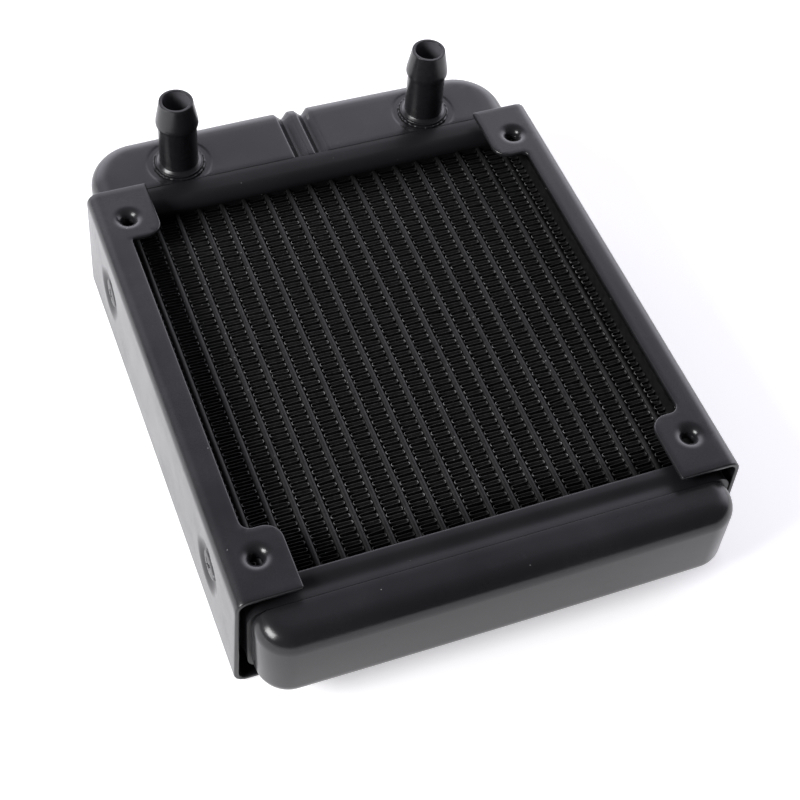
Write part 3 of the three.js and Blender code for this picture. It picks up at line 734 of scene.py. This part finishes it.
def header_soup(high_rim):
    """The rear header, a pan with a slot for each tube. Its edge next to the fins is well rounded and rises
    to the tank's mouth. With a high rim the edge is sharper, and a soft hollow lies behind the rim."""
    if high_rim:
        profile = fillet((HEADER_Y, 4), (HEADER_Y, -0.5), (60, -0.5), 0.7, 5)
        slope = np.linspace(58.9, 61.8, 9)
        profile += [(y, -0.2 - 0.3 * math.cos(math.pi * (y - 58.9) / 2.9)) for y in slope]
        profile += [(62.3, 0.08), (62.9, 0.02), (63.5, -0.05), (HEADER_END_Y, -0.08)]
    else:
        profile = [(HEADER_Y + EDGE_Y * (1 - math.cos(a)), 0.3 + HEADER_EDGE * (1 - math.sin(a)))
                   for a in np.linspace(0, 1.45, 12)]
        profile += [(61.4, 0.16), (62.6, 0.04), (63.3, 0.0), (HEADER_END_Y, 0.0)]
    soup = Soup()
    rings = []
    for y, inset in profile:
        skin = section(HEADER_X - inset, HEADER_HALF - inset, max(HEADER_R - inset, 1.0))
        rings.append(soup.add(standing(skin, y)))
    hollow = section(HEADER_X - 3.6, HEADER_HALF - 2.7, 1.0)
    for y in (HEADER_END_Y, HEADER_Y + HEADER_SHEET):
        rings.append(soup.add(standing(hollow, y)))
    for a, b in zip(rings, rings[1:]):
        soup.band(a, b)
    slots = []
    for i in range(TUBES):
        slot = oval(TUBE_R + 0.05, CORE_HALF)[::-1] - [0, MID_Z]
        slots.append(slot + [first_x + i * PITCH, 0])
    walls = []
    for y, ring in ((HEADER_Y, rings[0]), (HEADER_Y + HEADER_SHEET, rings[-1])):
        edge = np.array([(soup.points[i][0], soup.points[i][2] - MID_Z) for i in ring])
        flat, tris = triangulate([edge, *slots], np.zeros((0, 2)), 0.1)
        ids = np.concatenate([ring, soup.add(standing(flat[len(edge):], y))])
        soup.faces += [tuple(ids[t]) if not walls else tuple(ids[t][::-1]) for t in tris]
        walls.append(ids[len(edge):])
    n = len(slots[0])
    for i in range(TUBES):
        soup.band(walls[0][i * n:(i + 1) * n], walls[1][i * n:(i + 1) * n])
    return soup


def tank_xs(flat):
    """Positions across the back of a tank, close together over the grooves."""
    fine = np.arange(-4.95, 4.96, 0.18)
    outer = np.linspace(5.6, flat, 14)
    return np.concatenate([-outer[::-1], fine, outer])


def tank_ring(tank, inset):
    """The outline of a tank from above as points and normals, open at the mouth: +X side, back, -X side."""
    side, r, end = TANK_X - inset, tank["radius"] - inset, tank["end"] - inset
    base = TANK_X - tank["radius"]
    back = end - tank["bow"] - r
    points, normals = [], []
    for y in np.linspace(LIP_Y, back, 7)[:-1]:
        points.append((side, y))
        normals.append((1, 0))
    for a in np.linspace(0, math.pi / 2, 19)[:-1]:
        points.append((base + r * math.cos(a), back + r * math.sin(a)))
        normals.append((math.cos(a), math.sin(a)))
    for x in tank_xs(base)[::-1]:
        points.append((x, end - tank["bow"] * (x / base) ** 2))
        normals.append((0, 1))
    for a in np.linspace(math.pi / 2, math.pi, 19)[1:]:
        points.append((-base + r * math.cos(a), back + r * math.sin(a)))
        normals.append((math.cos(a), math.sin(a)))
    for y in np.linspace(back, LIP_Y, 7)[1:]:
        points.append((-side, y))
        normals.append((-1, 0))
    return np.array(points), np.array(normals)


def groove(x):
    """Depth of the two grooves over the divider."""
    t = abs(abs(x) - GROOVE_X) / GROOVE_HALF
    soft = 0.16
    wall = 1 - np.sqrt(t ** 2 + soft ** 2) + soft / 2
    foot = 0.5 * (wall + np.sqrt(wall ** 2 + 0.006))
    return GROOVE_DEPTH * np.where(t < 1.3, foot * np.clip((1.3 - t) / 0.3, 0, 1), 0)


def tank_soup(tank):
    """A deep drawn tank, open at its mouth, with pressed grooves and port holes where it has them."""
    soup = Soup()

    def sink(points, normals):
        """Points of a skin, moved in where the sheet is pressed."""
        points, normals = np.array(points, float), np.array(normals, float)
        if tank["grooves"]:
            points = points - normals * groove(points[:, 0])[:, None]
        if tank["ports"]:
            for side in (-1, 1):
                r = np.hypot(points[:, 0] - side * PORT_X, points[:, 1] - PORT_Y)
                pad = SEAT_DEPTH * np.clip((SEAT_R - r) / 0.5, 0, 1) * (normals[:, 2] > 0.9)
                points = points - normals * pad[:, None]
        return points

    def skin(wall):
        """The outer skin, or the inner one when wall is the sheet's thickness: the point ids of its rings,
        the faces of its flat top and bottom, its rim at the mouth and its port holes."""
        half, edge = TANK_HALF - wall, TANK_EDGE - wall
        rings = []
        angles = np.linspace(0, math.pi / 2, 11)
        for a in angles:
            rings.append((wall + edge * (1 - math.sin(a)), MID_Z + half - edge * (1 - math.cos(a)), a))
        for a in angles[::-1]:
            z = MID_Z - half + edge * (1 - math.cos(a))
            rings.append((wall + edge * (1 - math.sin(a)), z, math.pi - a))
        ids, data = [], []
        for inset, z, a in rings:
            p, n = tank_ring(tank, inset)
            points = np.column_stack([p, np.full(len(p), z)])
            normals = np.column_stack([n * math.sin(a), np.full(len(p), math.cos(a))])
            data.append((points, normals))
            ids.append(soup.add(sink(points, normals)))
        caps, mouths = [], []
        base = TANK_X - tank["radius"]
        xs = tank_xs(base)
        wide = TANK_X - TANK_EDGE
        extra = np.linspace(base, wide, 4)[1:-1]
        xs_mouth = np.concatenate([-extra[::-1], xs, extra])
        for which, up in ((0, 1.0), (-1, -1.0)):
            points, normals = data[which]
            ring = points[:, :2]
            z = points[0, 2]
            front = np.array([(x, LIP_Y) for x in xs_mouth])
            loop = np.concatenate([ring, front])
            holes = []
            if tank["ports"] and up > 0:
                holes = [circle(side * PORT_X, PORT_Y, PORT_HOLE_R, PORT_HOLE_POINTS)[0] for side in (-1, 1)]
            ys = np.arange(LIP_Y + 1.4, tank["end"] - TANK_EDGE, 1.7)
            spare = [np.array([(x, y) for x in xs_mouth for y in ys])]
            if holes:
                for side in (-1, 1):
                    d = np.hypot(spare[0][:, 0] - side * PORT_X, spare[0][:, 1] - PORT_Y)
                    spare[0] = spare[0][d > 9.4]
                    radii = (5.6, 6.4, 7.3, 7.9, 8.15, 8.4, 8.65, 8.9)
                    spare += [circle(side * PORT_X, PORT_Y, r, 64)[0] for r in radii]
            flat, tris = triangulate([loop, *holes], np.concatenate(spare), 0.2)
            fresh = flat[len(ring):]
            around = np.column_stack([fresh, np.full(len(fresh), z)])
            up_normals = np.tile([0, 0, up], (len(fresh), 1))
            all_ids = np.concatenate([ids[which], soup.add(sink(around, up_normals))])
            faces = all_ids[tris]
            if up < 0:
                faces = faces[:, ::-1]
            caps.append(faces)
            mouths.append(all_ids[len(ring):len(loop)])
            if holes:
                hole_ids = all_ids[len(loop):len(loop) + 2 * PORT_HOLE_POINTS]
        rim = [*[row[-1] for row in ids], *mouths[1], *[row[0] for row in ids[::-1]], *mouths[0][::-1]]
        return ids, caps, np.array(rim), hole_ids if tank["ports"] else None

    outer, outer_caps, outer_rim, outer_holes = skin(0.0)
    inner, inner_caps, inner_rim, inner_holes = skin(TANK_WALL)
    for a, b in zip(outer, outer[1:]):
        soup.band(a, b, closed=False)
    for a, b in zip(inner, inner[1:]):
        soup.band(b, a, closed=False)
    for faces in outer_caps:
        soup.faces += [tuple(f) for f in faces]
    for faces in inner_caps:
        soup.faces += [tuple(f[::-1]) for f in faces]
    # The lip: rounded over from the outer skin to the flat edge of the sheet, and back to the inner skin.
    a = np.array([soup.points[i] for i in outer_rim])
    b = np.array([soup.points[i] for i in inner_rim])
    rings = [outer_rim]
    for share, y in ((0.02, 0.06), (0.06, 0.01), (0.12, 0.0), (0.8, 0.0), (0.93, 0.06)):
        p = a + (b - a) * share
        p[:, 1] = MOUTH_Y + y
        rings.append(soup.add(p))
    rings.append(inner_rim)
    for one, two in zip(rings, rings[1:]):
        soup.band(two, one)
    if tank["ports"]:
        for k in (0, PORT_HOLE_POINTS):
            soup.band(outer_holes[k:k + PORT_HOLE_POINTS], inner_holes[k:k + PORT_HOLE_POINTS])
    return soup


piece("header_rear_pan", header_soup(False), HEADER_PAINT, ["header_rear"])
piece("header_front_pan", header_soup(True), HEADER_PAINT, ["header_front"], turn=True)
piece("return_tank_shell", tank_soup(RETURN_TANK), TANK_PAINT, ["return_tank"], turn=True)
piece("port_tank_shell", tank_soup(PORT_TANK), TANK_PAINT, ["port_tank"])


def fitting_soup(side):
    """A hose fitting with a barb, and a foot with a slightly uneven braze bead."""
    seat = MID_Z + TANK_HALF + 0.02
    tip, neck = PORT_TIP_Z, HEIGHT + 10.5
    profile = [(4.7, seat - 3.0), (4.7, seat)]
    profile += softened([(4.7, seat), (6.86, seat, 0.1), (6.82, seat + 0.34, 0.14), (6.45, seat + 0.36, 0.08),
                         (6.36, seat + 0.1, 0.06), (6.2, seat + 0.12, 0.05), (6.2, seat + 0.72, 0.16),
                         (5.75, seat + 0.74, 0.12), (5.0, seat + 1.4, 0.5), (4.95, neck, 0.06),
                         (5.42, neck + 0.04, 0.14), (5.5, neck + 0.6, 0.3), (5.44, neck + 1.4, 0.8),
                         (4.34, tip - 0.06, 0.12), (4.28, tip, 0.1), (3.56, tip, 0.1), (3.5, tip - 0.3, 0.1),
                         (3.5, seat - 2.8)], 5)
    profile += [(3.6, seat - 3.0)]
    soup = lathe(profile, 144)
    waves = [(rng.randint(5, 34), rng.uniform(0, 6.28), rng.uniform(0.015, 0.04)) for _ in range(9)]
    for p in soup.points:
        r = math.hypot(p[0], p[1])
        if r > BRAZE_R and p[2] < seat + 0.5:
            a = math.atan2(p[1], p[0])
            rough = sum(size * math.sin(k * a + phase) for k, phase, size in waves)
            p[0] *= 1 + (rough - 0.03) / r
            p[1] *= 1 + (rough - 0.03) / r
            p[2] += 0.8 * rough * (p[2] > seat + 0.05)
        p[0] += side * PORT_X
        p[1] += PORT_Y
    return soup


piece("inlet_barb", fitting_soup(-1), FITTING_PAINT, ["inlet_fitting"], 30)
piece("outlet_barb", fitting_soup(1), FITTING_PAINT, ["outlet_fitting"], 30)

for name in ("core_side_plate_left", "core_side_plate_right", "tank_divider"):
    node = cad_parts[name]
    node.data.materials.clear()
    node.data.materials.append(TUBE_PAINT)


# ---- camera, floor and light -------------------------------------------------------------------------------
def aimed(name, data, location, target, roll=0.0):
    """A camera or lamp that looks at a target."""
    obj = bpy.data.objects.new(name, data)
    bpy.context.scene.collection.objects.link(obj)
    obj.location = location
    look = (Vector(target) - Vector(location)).to_track_quat("-Z", "Y")
    obj.rotation_mode = "QUATERNION"
    obj.rotation_quaternion = look @ Matrix.Rotation(roll, 3, "Z").to_quaternion()
    return obj


AZIMUTH, ELEVATION, ROLL = math.radians(25.461), math.radians(51.976), math.radians(6.015)
level = math.cos(ELEVATION)
forward = Vector((math.sin(AZIMUTH) * level, math.cos(AZIMUTH) * level, -math.sin(ELEVATION)))
eye = Vector((-110.749, -238.097 + SHIFT_Y, 305.549 + HEIGHT)) * MM
camera_data = bpy.data.cameras.new("camera")
camera_data.sensor_width = 36
camera_data.lens = 75.262
camera_data.clip_start = 0.01
camera = aimed("camera", camera_data, eye, eye + forward, ROLL)
bpy.context.scene.camera = camera

floor_mesh = bpy.data.meshes.new("floor")
floor_mesh.from_pydata([(-3, -3, 0), (3, -3, 0), (3, 3, 0), (-3, 3, 0)], [], [(0, 1, 2, 3)])
n = Nodes("floor_white")
shade = n.add("ShaderNodeBsdfDiffuse", Color=(0.9, 0.9, 0.9, 1))
glow = n.add("ShaderNodeEmission", Color=(1.0, 0.99, 1.02, 1), Strength=0.50)
both = n.add("ShaderNodeAddShader", i0=shade.outputs[0], i1=glow.outputs[0])
n.put(n.out, "Surface", both.outputs[0])
floor_mesh.materials.append(n.material)
floor = bpy.data.objects.new("floor", floor_mesh)
bpy.context.scene.collection.objects.link(floor)


def softbox(name, direction, distance, size, power):
    """A rectangular lamp in a direction from the object."""
    data = bpy.data.lights.new(name, "AREA")
    data.shape = "RECTANGLE"
    data.size, data.size_y = size
    data.energy = power
    target = Vector((0, 0, 0.02))
    return aimed(name, data, target + Vector(direction).normalized() * distance, target)


softbox("key", (-0.86, -0.10, 0.56), 1.1, (0.55, 0.42), 16.0)

# A bright low backdrop behind the object, dim overhead and darkest on the camera's side.
world = bpy.data.worlds.new("studio")
bpy.context.scene.world = world
world.use_nodes = True
tree = world.node_tree
background = tree.nodes["Background"]
background.inputs[0].default_value = (0.97, 0.955, 1.06, 1.0)


def world_node(kind, settings, values):
    node = tree.nodes.new(kind)
    for key, value in settings.items():
        setattr(node, key, value)
    for key, value in values.items():
        if isinstance(value, bpy.types.NodeSocket):
            tree.links.new(value, node.inputs[key])
        else:
            node.inputs[key].default_value = value
    return node


def eased(value, low, high, to_low, to_high):
    smooth = {"interpolation_type": "SMOOTHSTEP"}
    values = {0: value, 1: low, 2: high, 3: to_low, 4: to_high}
    return world_node("ShaderNodeMapRange", smooth, values).outputs[0]


def combined(operation, a, b):
    return world_node("ShaderNodeMath", {"operation": operation}, {0: a, 1: b}).outputs[0]


direction = world_node("ShaderNodeTexCoord", {}, {}).outputs["Generated"]
height = world_node("ShaderNodeSeparateXYZ", {}, {0: direction}).outputs["Z"]
back = world_node("ShaderNodeVectorMath", {"operation": "DOT_PRODUCT"}, {0: direction, 1: (0.42, 0.91, 0.0)})
behind = eased(back.outputs["Value"], 0.18, 0.62, 0.0, 2.8)
backdrop = combined("MULTIPLY", behind, eased(height, 0.44, 0.86, 1.0, 0.02))
fill = eased(back.outputs["Value"], -0.6, 0.4, 0.09, 0.2)
tree.links.new(combined("ADD", backdrop, fill), background.inputs[1])

bpy.context.scene.view_settings.view_transform = "Standard"
bpy.context.scene.view_settings.look = "None"
